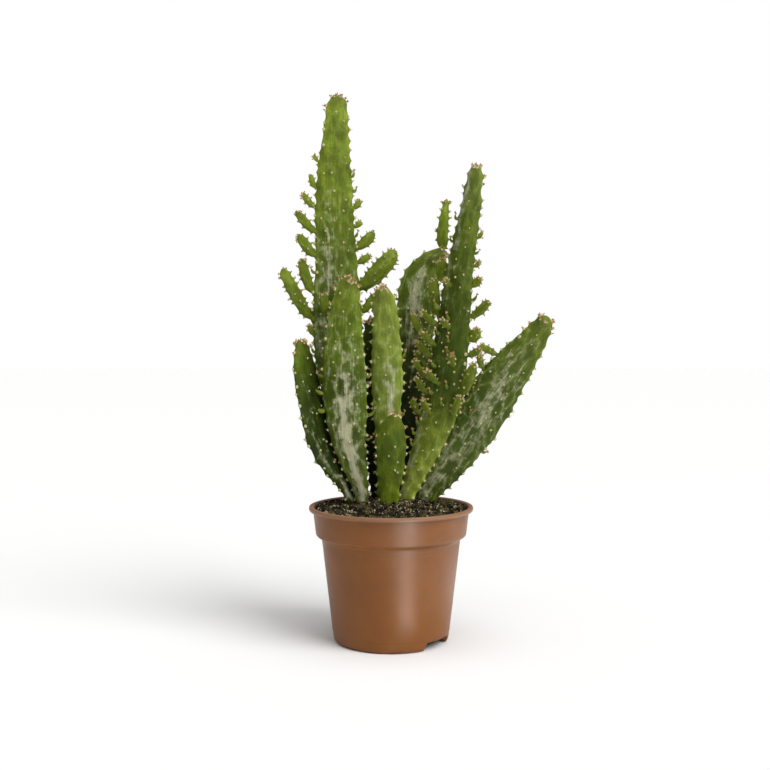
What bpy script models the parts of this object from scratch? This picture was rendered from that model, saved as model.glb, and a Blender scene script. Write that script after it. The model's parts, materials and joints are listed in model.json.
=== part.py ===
"""Potted paddle cactus: a flat-jointed cactus with offset pads, in a plastic nursery pot full of soil.

Frame: +Z up, metres. The origin is the middle of the pot's underside, on the surface it stands on.
The front of the plant faces -Y, and the big leaning pad is on the +X side.
"""

import math
from collections import namedtuple

import bmesh
import bpy
import numpy as np
from mathutils import Matrix, Vector

MM = 0.001
CLEARANCE = 0.3 * MM  # between any two pieces that touch

# Pot
POT_LIP_RADIUS = 60.0 * MM
POT_HEIGHT = 98.0 * MM
POT_WALL = 1.2 * MM
POT_FLOOR = 1.6 * MM
LIP_HEIGHT = 3.2 * MM
LIP_OVERHANG = 3.2 * MM
COLLAR_HEIGHT = 17.5 * MM
COLLAR_TAPER = 2.0 * MM
SHOULDER_HEIGHT = 2.8 * MM
SHOULDER_STEP = 4.2 * MM
BODY_TAPER = 8.8 * MM
FOOT_ROUNDING = 7.5 * MM
NOTCH_AZIMUTH = math.radians(-36.0)
NOTCH_HEIGHT = 6.0 * MM
NOTCH_LENGTH = 29.0 * MM
NOTCH_DEPTH = 15.0 * MM
NOTCH_SLOPE = 0.25  # how far its sides lean in, as a share of its height
DRAIN_RADIUS = 2.0 * MM
DRAIN_SPACING = 15.0 * MM
TURNING_STEPS = 40

# Soil
SOIL_EDGE_DROP = 2.2 * MM
SOIL_MOUND = 5.5 * MM

# Pads: how many faces round and along
PAD_SIDES, PAD_RINGS = 12, 14
OFFSET_SIDES, OFFSET_RINGS = 8, 7

Pad = namedtuple("Pad", "name yaw thickness colour stations")
# Each station is x, y, the height above the pot's rim, and half the width there, in millimetres.
# Yaw turns the pad's broad face from straight ahead towards +X, in degrees.
PADS = (
    Pad("tall_left_stem", 17, 11.0, "#6b792b", (
        (-21, 12, -20, 5), (-27, 13, 30, 9), (-36, 15, 80, 15.5), (-39, 17, 118, 19),
        (-41, 20, 190, 15.3), (-42.5, 23, 229, 14.3), (-41.5, 26, 266, 10.9), (-40, 29, 305, 8),
    )),
    Pad("front_left_pad", -5, 11.0, "#5b6b1c", (
        (-17, -2, -20, 3.5), (-22, -4, 12, 5.5), (-30.5, -8, 49, 12.8), (-33, -9.5, 80, 15.8),
        (-33.5, -11, 120, 14.0), (-32, -12, 149, 10.1), (-29, -15, 166, 8),
    )),
    Pad("middle_pad", 0, 10.0, "#758132", (
        (-5, 3, -20, 4.5), (-4, 3, 20, 6.5), (-3, 3, 60, 9.3), (-3, 2, 97, 11.8),
        (-3.5, 0, 125, 10), (-5, -3, 149, 8.2), (-6, -5, 160, 7),
    )),
    Pad("small_front_pad", 0, 9.0, "#57641f", (
        (-1, -9, -20, 5), (-1, -10, 8, 7), (0, -13, 38, 10.3), (0.5, -15, 53, 10), (2, -17, 68, 6),
    )),
    Pad("outer_left_pad", 58, 10.0, "#4b591a", (
        (-24, 4, -20, 4), (-28, 3, 4, 6), (-36, 1, 20, 9), (-45, -2, 34, 11.5), (-52.5, -4.5, 51, 13.5),
        (-57, -7, 73, 13.5), (-61.5, -9, 95, 12.5), (-65, -11, 121, 7.5),
    )),
    Pad("tall_right_stem", -25, 12.0, "#566320", (
        (6, 2, -20, 4.5), (13, 3, 10, 6.5), (25, 2, 40, 10.5), (36.4, 0, 72, 14.8), (43, -3, 113, 13.8),
        (49.5, -7, 171, 10), (58, -12, 224, 7), (60.5, -15, 245, 5.5),
    )),
    Pad("back_pad", 5, 10.0, "#5d6a29", (
        (11, 23.5, -20, 5), (12, 23.5, 10, 6.5), (14, 24, 50, 9), (17, 24.5, 90, 11),
        (19, 25.5, 125, 13), (19.5, 26.5, 150, 15), (24, 27.5, 170, 13), (31.5, 29, 181, 9),
        (42.5, 30.5, 187.5, 5),
    )),
    Pad("inner_pad", 0, 9.0, "#4b5a18", (
        (-9.6, 13.5, -20, 4), (-10, 14, 10, 5.5), (-11, 14.5, 40, 7.5), (-12.5, 14.5, 80, 8.5),
        (-13.5, 14.5, 115, 8), (-14, 14, 138, 5.5),
    )),
    Pad("leaning_right_pad", 8, 12.0, "#657426", (
        (17, 12, -20, 6), (26.5, 12, 6, 8.5), (45.5, 12, 32.5, 13.8), (60.3, 9, 55, 17.2),
        (75, 6, 81, 18), (92, 1, 106, 14), (105, -4, 124, 10), (112.5, -8, 138, 7),
    )),
)

Offset = namedtuple(
    "Offset", "parent height around turn rise length half_width neck tip", defaults=(0.5, 0.75)
)
# Height is that of the parent's centre line above the pot's rim, in millimetres. Around is the angle
# on the parent's section: 0 is its right margin, 180 its left margin and -90 the middle of its front.
# Turn swings the offset about the parent's axis, rise tilts it up to the parent's tip, in degrees.
# Neck and tip are shares of the half width, where it leaves its parent and where its end is rounded.
OFFSETS = (
    Offset("tall_left_stem", 253, 180, 0, 50, 6.0, 1.6),
    Offset("tall_left_stem", 234, 180, 0, 68, 10, 2.3),
    Offset("tall_left_stem", 220, 180, 0, 47, 13.5, 2.7),
    Offset("tall_left_stem", 202, 180, 0, 47, 20.5, 3.6),
    Offset("tall_left_stem", 184, 180, 0, 51, 19.5, 4.1),
    Offset("tall_left_stem", 157, 180, 0, 70, 26, 4.2),
    Offset("tall_left_stem", 138, 180, 0, 59, 42, 5.1),
    Offset("tall_left_stem", 126, 190, 0, 66, 8, 2.3),
    Offset("tall_left_stem", 140, 235, 0, 72, 16, 3.4),
    Offset("tall_left_stem", 81, 180, 0, 27, 9, 1.9),
    Offset("tall_left_stem", 67, 180, 0, 38, 10, 2.3),
    Offset("tall_left_stem", 220, 0, 0, 48, 8, 2.5),
    Offset("tall_left_stem", 206, 0, 0, 32, 6.5, 2.3),
    Offset("tall_left_stem", 190, 0, 0, 38, 19, 4.3),
    Offset("tall_left_stem", 179, 0, 0, 28, 12, 2.9),
    Offset("tall_left_stem", 161, 0, 0, 43, 40.5, 7.2),
    Offset("tall_left_stem", 142, 0, 0, 52, 17, 3.4),
    Offset("tall_right_stem", 162, 166, 0, 66, 18, 5.0),
    Offset("tall_right_stem", 138, 174, 5, 74, 27, 4.4),
    Offset("tall_right_stem", 160, 245, -20, 40, 6.5, 2.3),
    Offset("tall_right_stem", 130, 204, -15, 36, 15.5, 2.7),
    Offset("tall_right_stem", 113, 180, 0, 46, 31, 3.1),
    Offset("tall_right_stem", 130, 262, -25, 40, 9, 2.6),
    Offset("tall_right_stem", 116, 215, -20, 36, 14.5, 2.7),
    Offset("tall_right_stem", 107, 190, -10, 40, 16, 3.0),
    Offset("tall_right_stem", 97, 178, 5, 42, 18, 2.3),
    Offset("tall_right_stem", 91, 190, -5, 46, 17, 2.5),
    Offset("tall_right_stem", 89, 255, -35, 40, 14.5, 2.7),
    Offset("tall_right_stem", 80, 215, -25, 46, 14, 2.7),
    Offset("tall_right_stem", 66, 250, -35, 44, 12, 2.7),
    Offset("tall_right_stem", 62, 190, -10, 44, 13, 2.7),
    Offset("tall_right_stem", 104, 290, 0, 62, 10, 3.2),
    Offset("tall_right_stem", 195, 0, 0, 58, 6.0, 1.7),
    Offset("tall_right_stem", 175, 0, 0, 40, 6.2, 1.9),
    Offset("tall_right_stem", 161, 0, 0, 50, 8.5, 2.9),
    Offset("tall_right_stem", 139, 0, 0, 45, 18, 3.5),
    Offset("tall_right_stem", 123, 0, 0, 58, 10, 4.4),
    Offset("tall_right_stem", 112, 0, 0, 34, 10.5, 2.8),
    Offset("tall_right_stem", 85, 335, 12, 66, 26, 4.6),
    Offset("tall_right_stem", 69, 322, 0, 76, 17, 2.8),
    Offset("back_pad", 187.2, 180, 0, 34, 35.5, 4.3, 1.25, 0.55),
    Offset("leaning_right_pad", 102, 180, 0, -8, 14.5, 2.7),
    Offset("leaning_right_pad", 91, 180, 0, 40, 10.5, 2.5),
)
OFFSET_THICKNESS = 0.62  # share of the width
OFFSET_BOW = 1.3  # how far it runs straight out before it bends up, as a share of its half thickness

Skeleton = namedtuple("Skeleton", "centre along side face half_width half_thickness")


def material(name, colour, roughness):
    made = bpy.data.materials.new(name)
    made.use_nodes = True
    shader = made.node_tree.nodes["Principled BSDF"]
    srgb = [int(colour[i:i + 2], 16) / 255 for i in (1, 3, 5)]
    linear = [c / 12.92 if c <= 0.04045 else ((c + 0.055) / 1.055) ** 2.4 for c in srgb]
    shader.inputs["Base Color"].default_value = (*linear, 1.0)
    shader.inputs["Roughness"].default_value = roughness
    shader.inputs["Metallic"].default_value = 0.0
    return made


def add_object(name, mesh, collection, look=None):
    made = bpy.data.objects.new(name, mesh)
    collection.objects.link(made)
    if look:
        mesh.materials.append(look)
    return made


def hide_cutter(cutter):
    cutter.hide_render = True
    cutter.display_type = "WIRE"


def subtract(target, cutter):
    cut = target.modifiers.new("cut_" + cutter.name, "BOOLEAN")
    cut.operation = "DIFFERENCE"
    cut.object = cutter


# Curves and lofts


def smooth(rows, shares):
    """A cubic curve through the rows, at shares 0 to 1 of the distance between their first three columns."""
    steps = np.linalg.norm(np.diff(rows[:, :3], axis=0), axis=1)
    knots = np.concatenate([[0.0], np.cumsum(steps)]) / steps.sum()
    slopes = np.gradient(rows, knots, axis=0)
    span = np.clip(np.searchsorted(knots, shares, side="right") - 1, 0, len(knots) - 2)
    gap = (knots[span + 1] - knots[span])[:, None]
    t = (shares - knots[span])[:, None] / gap
    return (
        (2 * t**3 - 3 * t**2 + 1) * rows[span]
        + (t**3 - 2 * t**2 + t) * gap * slopes[span]
        + (3 * t**2 - 2 * t**3) * rows[span + 1]
        + (t**3 - t**2) * gap * slopes[span + 1]
    )


def unit(rows):
    return rows / np.linalg.norm(rows, axis=-1, keepdims=True)


def skeleton(rows, face, shares):
    """Centres, axes and half sizes along a pad. Rows hold x, y, z, half width and half thickness."""
    at = smooth(rows, shares)
    step = 1e-3
    ahead = smooth(rows, np.minimum(shares + step, 1.0))[:, :3]
    behind = smooth(rows, np.maximum(shares - step, 0.0))[:, :3]
    along = unit(ahead - behind)
    side = unit(np.cross(face, along))
    return Skeleton(at[:, :3], along, side, np.cross(along, side), at[:, 3], at[:, 4])


def round_ends(distance, length, first, last):
    """1 along the middle, falling to 0 at both ends as a quarter circle of the ends' half width."""
    def cap(reach, radius):
        return np.sqrt(np.clip(1 - np.clip(1 - reach / radius, 0, 1) ** 2, 0, 1))
    return cap(distance, first) * cap(length - distance, last)


def loft(name, rows, face, sides, rings):
    """A closed pad: a sphere whose rings are carried along the rows and stretched to the section there."""
    bm = bmesh.new()
    bmesh.ops.create_uvsphere(bm, u_segments=sides, v_segments=rings, radius=1.0)
    ball = np.array([v.co for v in bm.verts])
    shares = (1 + ball[:, 2]) / 2
    length = np.linalg.norm(np.diff(rows[:, :3], axis=0), axis=1).sum()
    bones = skeleton(rows, face, shares)
    ends = round_ends(shares * length, length, rows[0, 3], rows[-1, 3])
    turn = unit(np.column_stack([ball[:, :2], np.full(len(ball), 1e-9)]))
    points = (
        bones.centre
        + bones.side * (bones.half_width * ends * turn[:, 0])[:, None]
        + bones.face * (bones.half_thickness * ends * turn[:, 1])[:, None]
    )
    for vertex, point in zip(bm.verts, points):
        vertex.co = point
    mesh = bpy.data.meshes.new(name)
    bm.to_mesh(mesh)
    bm.free()
    mesh.shade_smooth()
    return mesh


def turned(name, profile, collection, look=None):
    """The profile's points, radius and height, turned about Z. They run from the top down the outside."""
    mesh = bpy.data.meshes.new(name)
    points = [(radius, 0.0, height) for radius, height in profile]
    mesh.from_pydata(points, [(i, i + 1) for i in range(len(points) - 1)], [])
    made = add_object(name, mesh, collection, look)
    screw = made.modifiers.new("turn", "SCREW")
    screw.steps = TURNING_STEPS
    screw.render_steps = TURNING_STEPS
    screw.use_merge_vertices = True
    screw.merge_threshold = 0.00001
    screw.use_smooth_shade = True
    return made


# Pot and soil


def pot_side(inset, floor):
    """The pot's side and floor moved in by inset, from the top of the collar down to the axis."""
    collar_radius = POT_LIP_RADIUS - LIP_OVERHANG
    shoulder_top = POT_HEIGHT - LIP_HEIGHT - COLLAR_HEIGHT
    shoulder_radius = collar_radius - COLLAR_TAPER
    body_top = shoulder_top - SHOULDER_HEIGHT
    body_radius = shoulder_radius - SHOULDER_STEP
    foot_radius = body_radius - BODY_TAPER
    rounding = FOOT_ROUNDING - inset
    foot = [
        (
            foot_radius - inset - rounding * (1 - math.cos(angle)),
            floor + rounding * (1 - math.sin(angle)),
        )
        for angle in np.radians((0, 22.5, 45, 67.5, 90))
    ]
    return [
        (collar_radius - inset, POT_HEIGHT - LIP_HEIGHT),
        (shoulder_radius - inset, shoulder_top),
        (body_radius - inset, body_top),
        *foot,
        (0.0, floor),
    ]


def pot_profile():
    lip = [
        (0.0, POT_HEIGHT),
        (POT_LIP_RADIUS - 0.4 * LIP_HEIGHT, POT_HEIGHT),
        (POT_LIP_RADIUS, POT_HEIGHT - 0.3 * LIP_HEIGHT),
        (POT_LIP_RADIUS - 0.3 * MM, POT_HEIGHT - LIP_HEIGHT),
    ]
    return lip + pot_side(0.0, 0.0)


def hollow_profile():
    above = POT_HEIGHT + 10 * MM
    inner = pot_side(POT_WALL, POT_FLOOR)
    mouth = inner[0][0] + 0.5 * MM
    return [(0.0, above), (mouth, above), (mouth, POT_HEIGHT - 0.4 * LIP_HEIGHT)] + inner


def soil_top(radius, edge):
    """Height of the soil: a low mound that falls to the pot's side as a cosine."""
    return POT_HEIGHT - SOIL_EDGE_DROP + SOIL_MOUND * (1 + math.cos(math.pi * radius / edge)) / 2


def soil_profile():
    side = pot_side(POT_WALL + CLEARANCE, POT_FLOOR + CLEARANCE)
    edge = side[0][0]
    shares = np.linspace(0.0, 1.0, 7)
    return [(edge * s, soil_top(edge * s, edge)) for s in shares] + side[1:]


def notch(name, azimuth, grow, collection):
    """A block with a narrower top that lifts the pot's floor at its edge, made larger by grow."""
    bm = bmesh.new()
    bmesh.ops.create_cube(bm, size=2.0)
    outer = POT_LIP_RADIUS
    foot_radius = pot_side(0.0, 0.0)[3][0]
    inner = foot_radius - NOTCH_DEPTH - grow
    half = NOTCH_LENGTH / 2 + grow
    top = NOTCH_HEIGHT + grow
    for vertex in bm.verts:
        x, y, z = vertex.co
        slope = NOTCH_SLOPE * top if z > 0 else -NOTCH_SLOPE * top
        vertex.co = (
            outer if x > 0 else inner + max(slope, 0.0),
            y * (half - slope),
            top if z > 0 else -top,
        )
    bmesh.ops.rotate(bm, verts=bm.verts, cent=(0, 0, 0), matrix=Matrix.Rotation(azimuth, 3, "Z"))
    mesh = bpy.data.meshes.new(name)
    bm.to_mesh(mesh)
    bm.free()
    made = add_object(name, mesh, collection)
    hide_cutter(made)
    return made


def drain(name, azimuth, offset, collection):
    bm = bmesh.new()
    bmesh.ops.create_cone(
        bm, cap_ends=True, segments=12, radius1=DRAIN_RADIUS, radius2=DRAIN_RADIUS, depth=4 * NOTCH_HEIGHT
    )
    foot_radius = pot_side(0.0, 0.0)[3][0]
    place = Vector((foot_radius - 0.45 * NOTCH_DEPTH, offset, 0.0))
    bmesh.ops.translate(bm, verts=bm.verts, vec=Matrix.Rotation(azimuth, 3, "Z") @ place)
    mesh = bpy.data.meshes.new(name)
    bm.to_mesh(mesh)
    bm.free()
    made = add_object(name, mesh, collection)
    hide_cutter(made)
    return made


def build_pot(parts, cutters):
    pot = turned("nursery_pot", pot_profile(), parts, material("terracotta_plastic", "#986038", 0.38))
    hollow = turned("pot_hollow", hollow_profile(), cutters)
    hide_cutter(hollow)
    for number, azimuth in enumerate((NOTCH_AZIMUTH, NOTCH_AZIMUTH + math.pi)):
        subtract(pot, notch(f"notch_outside_{number}", azimuth, 0.0, cutters))
        subtract(hollow, notch(f"notch_inside_{number}", azimuth, POT_WALL, cutters))
    subtract(pot, hollow)
    for number, azimuth in enumerate((NOTCH_AZIMUTH, NOTCH_AZIMUTH + math.pi)):
        for side in (-1, 1):
            hole = drain(f"drain_{number}_{side}", azimuth, side * DRAIN_SPACING / 2, cutters)
            subtract(pot, hole)
    return pot


def build_soil(parts, cutters, pads):
    soil = turned("potting_soil", soil_profile(), parts, material("peat_soil", "#3c3122", 0.95))
    for number, azimuth in enumerate((NOTCH_AZIMUTH, NOTCH_AZIMUTH + math.pi)):
        subtract(soil, notch(f"notch_in_soil_{number}", azimuth, POT_WALL + CLEARANCE, cutters))
    for pad in pads:
        rows = pad_rows(pad)
        rows[:, 3:] += CLEARANCE
        rows[0, :3] += CLEARANCE * unit(rows[0, :3] - rows[1, :3])
        mesh = loft("socket_" + pad.name, rows, pad_face(pad), PAD_SIDES, PAD_RINGS)
        socket = add_object(mesh.name, mesh, cutters)
        hide_cutter(socket)
        subtract(soil, socket)
    return soil


# Pads


def pad_rows(pad):
    """x, y, z, half width and half thickness in metres. A narrow stretch is thinner, but less so."""
    stations = np.array(pad.stations, float)
    half_width = stations[:, 3]
    half_thickness = pad.thickness / 2 * np.sqrt(half_width / half_width.max())
    rows = np.column_stack([stations, half_thickness]) * MM
    rows[:, 2] += POT_HEIGHT
    return rows


def pad_face(pad):
    """The level direction behind the pad, square to its broad face."""
    yaw = math.radians(pad.yaw)
    return np.array((-math.sin(yaw), math.cos(yaw), 0.0))


def offset_rows(offset, parent):
    """The offset's rows: it leaves its parent's skin square, bends up, swells and ends round."""
    rows = pad_rows(parent)
    shares = np.linspace(0.0, 1.0, 201)
    heights = smooth(rows, shares)[:, 2] - POT_HEIGHT
    share = np.interp(offset.height * MM, heights, shares)
    bones = skeleton(rows, pad_face(parent), np.array([share]))
    around = math.radians(offset.around)
    side, face, along = bones.side[0], bones.face[0], bones.along[0]
    wide, thick = bones.half_width[0], bones.half_thickness[0]
    surface = bones.centre[0] + side * wide * math.cos(around) + face * thick * math.sin(around)
    out = unit(side * math.cos(around) / wide + face * math.sin(around) / thick)
    start = Vector(surface + out * CLEARANCE)
    out = Matrix.Rotation(math.radians(offset.turn), 3, Vector(along)) @ Vector(out)
    rise = math.radians(offset.rise)
    tip = start + offset.length * MM * (out * math.cos(rise) + Vector(along) * math.sin(rise))
    half = offset.half_width * MM
    bend = start + half * OFFSET_THICKNESS * OFFSET_BOW * out
    route = []
    for t, swell in ((0.0, offset.neck), (0.3, (1 + offset.neck) / 2), (0.65, 1.0), (1.0, offset.tip)):
        point = start * (1 - t) ** 2 + bend * 2 * t * (1 - t) + tip * t**2
        route.append((*point, half * swell, half * swell * OFFSET_THICKNESS))
    return np.array(route)


def build_plant(parts):
    by_name = {pad.name: pad for pad in PADS}
    for pad in PADS:
        mesh = loft(pad.name, pad_rows(pad), pad_face(pad), PAD_SIDES, PAD_RINGS)
        add_object(pad.name, mesh, parts, material(pad.name + "_skin", pad.colour, 0.5))
    counts = {}
    for offset in OFFSETS:
        parent = by_name[offset.parent]
        counts[parent.name] = counts.get(parent.name, 0) + 1
        name = f"{parent.name}_offset_{counts[parent.name]:02d}"
        mesh = loft(name, offset_rows(offset, parent), pad_face(parent), OFFSET_SIDES, OFFSET_RINGS)
        add_object(name, mesh, parts, material(name + "_skin", parent.colour, 0.5))


def main():
    for old in list(bpy.data.objects):
        bpy.data.objects.remove(old)
    parts = bpy.data.collections.new("potted_paddle_cactus")
    cutters = bpy.data.collections.new("cutters")
    bpy.context.scene.collection.children.link(parts)
    bpy.context.scene.collection.children.link(cutters)
    build_pot(parts, cutters)
    build_soil(parts, cutters, PADS)
    build_plant(parts)


main()
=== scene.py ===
# %% [markdown]
# # A potted paddle cactus
#
# This notebook dresses a young paddle cactus in a terracotta-coloured nursery pot. The plain solids
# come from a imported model. Each one keeps its place and size, and gets a finer surface here: bumpy
# green skin, woolly areoles with bristles, moulded plastic and crumbly soil.

import json
import math

import bmesh
import bpy
import numpy as np
from mathutils import Matrix, Vector

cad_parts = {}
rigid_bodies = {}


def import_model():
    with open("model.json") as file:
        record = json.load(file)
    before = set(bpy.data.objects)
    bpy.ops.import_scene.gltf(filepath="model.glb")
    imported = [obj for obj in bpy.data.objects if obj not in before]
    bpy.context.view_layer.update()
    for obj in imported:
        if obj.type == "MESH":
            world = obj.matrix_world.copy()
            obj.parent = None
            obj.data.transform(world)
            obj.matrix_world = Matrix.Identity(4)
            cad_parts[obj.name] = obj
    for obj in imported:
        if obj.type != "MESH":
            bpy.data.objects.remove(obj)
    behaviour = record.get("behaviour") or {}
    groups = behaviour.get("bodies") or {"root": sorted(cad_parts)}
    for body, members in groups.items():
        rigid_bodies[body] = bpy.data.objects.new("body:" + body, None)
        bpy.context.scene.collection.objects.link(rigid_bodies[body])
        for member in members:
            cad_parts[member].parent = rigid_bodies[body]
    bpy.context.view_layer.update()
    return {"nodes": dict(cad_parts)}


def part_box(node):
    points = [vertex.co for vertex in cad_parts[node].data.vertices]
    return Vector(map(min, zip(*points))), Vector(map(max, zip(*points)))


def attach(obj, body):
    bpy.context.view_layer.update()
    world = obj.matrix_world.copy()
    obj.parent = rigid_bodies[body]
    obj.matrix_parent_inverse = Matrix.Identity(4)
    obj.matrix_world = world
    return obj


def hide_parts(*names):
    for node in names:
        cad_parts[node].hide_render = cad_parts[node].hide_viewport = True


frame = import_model()
MM = 0.001

# %% [markdown]
# ## Reading a pad's spine from its plain solid
#
# A plain pad is a ball whose rings were carried along a curved line. The finer skin has to follow the
# same line. It could be traced by hand, but then it would drift from the solid, so the rings are found
# again in the mesh. The tip and the foot are the only two corners whose neighbours, and theirs, come in
# rings of one size. How many edges a corner is away from the foot is the number of its ring.


# %% Rings of a plain pad
def read(items, field, width, kind=float):
    """One field of a mesh's corners or edges as rows of an array."""
    flat = np.empty(len(items) * width, kind)
    items.foreach_get(field, flat)
    return flat.reshape(-1, width)


def mesh_from(name, bm):
    """Makes a mesh of a bmesh and frees it."""
    mesh = bpy.data.meshes.new(name)
    bm.to_mesh(mesh)
    bm.free()
    return mesh


def corners_and_edges(name):
    """The solid's corners with doubled ones made one, and its edges as pairs of corner numbers."""
    copy = bmesh.new()
    copy.from_mesh(frame["nodes"][name].data)
    bmesh.ops.remove_doubles(copy, verts=copy.verts, dist=0.005 * MM)
    merged = mesh_from("merged", copy)
    found = read(merged.vertices, "co", 3), read(merged.edges, "vertices", 2, np.int32)
    bpy.data.meshes.remove(merged)
    return found


def steps_from(start, edges, count):
    """Edges walked from the start: each sweep, a corner is one more than its nearest neighbour."""
    steps = np.full(count, count)
    steps[start] = 0
    while True:
        before = steps.copy()
        nearest = steps[edges].min(axis=1) + 1
        np.minimum.at(steps, edges[:, 0], nearest)
        np.minimum.at(steps, edges[:, 1], nearest)
        if (steps == before).all():
            return steps


def rings_of(name, sides, foot_near):
    """The corners in order of rings from the foot, which is the pole nearest the points foot_near."""
    corners, edges = corners_and_edges(name)
    poles = []
    for pole in np.flatnonzero(np.bincount(edges.ravel()) >= sides):
        steps = steps_from(pole, edges, len(corners))
        sizes = np.bincount(steps)
        if sizes[-1] == 1 and (sizes[1:-1] == sides).all():
            reach = np.linalg.norm(foot_near - corners[pole], axis=1).min()
            poles.append((reach, pole, steps))
    _, pole, steps = min(poles, key=lambda found: found[0])
    return [corners[steps == number] for number in range(steps.max() + 1)]


# %% [markdown]
# ## The spine
#
# Each ring gives a centre, a half width and a half thickness. Between the rings the values follow a
# cubic curve. Close to a pole a ring's radius grows like a sine of its number, so the sizes are stored
# as shares of that sine, which stay smooth right up to the tip.


# %% Centres, axes and sizes along a pad
def unit(rows):
    """Each row divided by its own length."""
    return rows / np.linalg.norm(rows, axis=-1, keepdims=True)


def cubic(rows, at, flat_ends=False):
    """A cubic through the rows, read at fractional row numbers, with slopes from the neighbours."""
    slopes = np.gradient(rows, axis=0)
    if flat_ends:
        slopes[[0, -1]] = 0
    low = np.clip(at.astype(int), 0, len(rows) - 2)
    t = (at - low).reshape(-1, *[1] * (rows.ndim - 1))
    return (
        (2 * t**3 - 3 * t**2 + 1) * rows[low]
        + (t**3 - 2 * t**2 + t) * slopes[low]
        + (3 * t**2 - 2 * t**3) * rows[low + 1]
        + (t**3 - t**2) * slopes[low + 1]
    )


class Spine:
    """A pad's centre line with its two half sizes. The face points behind the pad, the side to its right."""

    def __init__(self, name, sides, foot_near, back=None):
        rings = rings_of(name, sides, foot_near)
        self.last = len(rings) - 1
        self.centres = np.array([ring.mean(axis=0) for ring in rings])
        if back is None:
            thin = np.array([self.thin_axis(ring) for ring in rings[3:-3]])
            back = unit((thin * np.sign(thin[:, 1:2])).mean(axis=0))
        self.back = back
        along = unit(np.gradient(self.centres, axis=0))
        side = unit(np.cross(back, along))
        face = np.cross(along, side)
        numbers = np.arange(1, self.last)
        sine = np.sin(np.pi * numbers / self.last)
        wide = [np.abs((rings[k] - self.centres[k]) @ side[k]).max() for k in numbers] / sine
        thick = [np.abs((rings[k] - self.centres[k]) @ face[k]).max() for k in numbers] / sine
        self.sizes = np.pad(np.column_stack([wide, thick]), ((1, 1), (0, 0)), mode="edge")
        fine = np.linspace(0, self.last, 40 * self.last)
        path = cubic(self.centres, fine, flat_ends=True)
        walked = np.concatenate([[0], np.cumsum(np.linalg.norm(np.diff(path, axis=0), axis=1))])
        self.fine, self.walked, self.length = fine, walked, walked[-1]

    @staticmethod
    def thin_axis(ring):
        """The direction across a ring, in its own plane, in which it is thinnest."""
        spread, axes = np.linalg.eigh(np.cov((ring - ring.mean(axis=0)).T))
        return axes[:, np.argsort(spread)[1]]

    def ring_at(self, distance):
        """The fractional ring number at a distance walked from the foot."""
        return np.interp(distance, self.walked, self.fine)

    def at(self, numbers):
        """Centres, along, side, face, half width and half thickness at fractional ring numbers."""
        step = 0.02
        centres = cubic(self.centres, numbers, flat_ends=True)
        ahead = cubic(self.centres, np.minimum(numbers + step, self.last - 1e-6), flat_ends=True)
        behind = cubic(self.centres, np.maximum(numbers - step, 0.0), flat_ends=True)
        along = unit(ahead - behind)
        side = unit(np.cross(self.back, along))
        sizes = cubic(self.sizes, numbers) * np.sin(np.pi * numbers / self.last)[:, None]
        return centres, along, side, np.cross(along, side), sizes[:, :1], sizes[:, 1:]


PAD_SIDES, OFFSET_SIDES = 12, 8  # corners in a ring of a plain pad and of a plain side pad
names = sorted(frame["nodes"])
pad_names = [n for n in names if n not in ("nursery_pot", "potting_soil") and "_offset_" not in n]
spines = {n: Spine(n, PAD_SIDES, np.zeros((1, 3))) for n in pad_names}
for name, spine in spines.items():
    print(f"{name}: {spine.length / MM:.0f} mm long, half width {spine.sizes[:, 0].max() / MM:.1f} mm")

# %% [markdown]
# ## From grids to meshes
#
# Every surface below is a grid of rows and columns. The columns close round the body. Each end is
# closed by a fan of triangles round one last corner, so the mesh is watertight and its faces look
# outwards.


# %% Mesh helpers
def mesh_of(name, points, *blocks):
    """A mesh from points and blocks of faces, each block a table with one row per face."""
    mesh = bpy.data.meshes.new(name)
    mesh.vertices.add(len(points))
    mesh.vertices.foreach_set("co", np.ascontiguousarray(points, np.float32).ravel())
    totals = np.concatenate([np.full(len(block), block.shape[1]) for block in blocks])
    mesh.loops.add(int(totals.sum()))
    mesh.loops.foreach_set("vertex_index", np.concatenate([b.ravel() for b in blocks]).astype(np.int32))
    mesh.polygons.add(len(totals))
    mesh.polygons.foreach_set("loop_start", (np.cumsum(totals) - totals).astype(np.int32))
    mesh.polygons.foreach_set("loop_total", totals.astype(np.int32))
    mesh.update(calc_edges=True)
    mesh.validate()
    mesh.shade_smooth()
    return mesh


def tube_faces(rows, columns):
    """Four-sided faces between rows of a closed grid, then the fans at the first and the last row."""
    row, column = np.meshgrid(np.arange(rows - 1), np.arange(columns), indexing="ij")
    beside = (column + 1) % columns
    low, high = row * columns, (row + 1) * columns
    walls = np.stack([low + column, low + beside, high + beside, high + column], axis=-1).reshape(-1, 4)
    ring = np.arange(columns)
    ahead = (ring + 1) % columns
    foot, tip, top = rows * columns, rows * columns + 1, (rows - 1) * columns
    fans = np.concatenate([
        np.column_stack([np.full(columns, foot), ahead, ring]),
        np.column_stack([np.full(columns, tip), top + ring, top + ahead]),
    ])
    return walls, fans


def closed(grid):
    """The grid's points row by row, then the middle of its first row and of its last."""
    return np.concatenate([grid.reshape(-1, 3), grid[:1].mean(axis=1), grid[-1:].mean(axis=1)])


def with_values(mesh, name, values):
    """Stores one number, vector or colour for each corner of the mesh, for a material to read."""
    values = np.asarray(values, np.float32)
    kind, field = {1: ("FLOAT", "value"), 3: ("FLOAT_VECTOR", "vector"), 4: ("FLOAT_COLOR", "color")}[
        1 if values.ndim == 1 else values.shape[1]]
    mesh.attributes.new(name, kind, "POINT").data.foreach_set(field, values.ravel())


def linked(name, data):
    """Puts an object with the given data in the scene."""
    made = bpy.data.objects.new(name, data)
    bpy.context.scene.collection.objects.link(made)
    return made


def piece(name, mesh, material, stands_for=()):
    """Puts a mesh in the scene as a piece of the plant, riding on the one body."""
    made = linked(name, mesh)
    mesh.materials.append(material)
    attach(made, "root")
    if stands_for:
        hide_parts(*stands_for)
    return made


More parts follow.
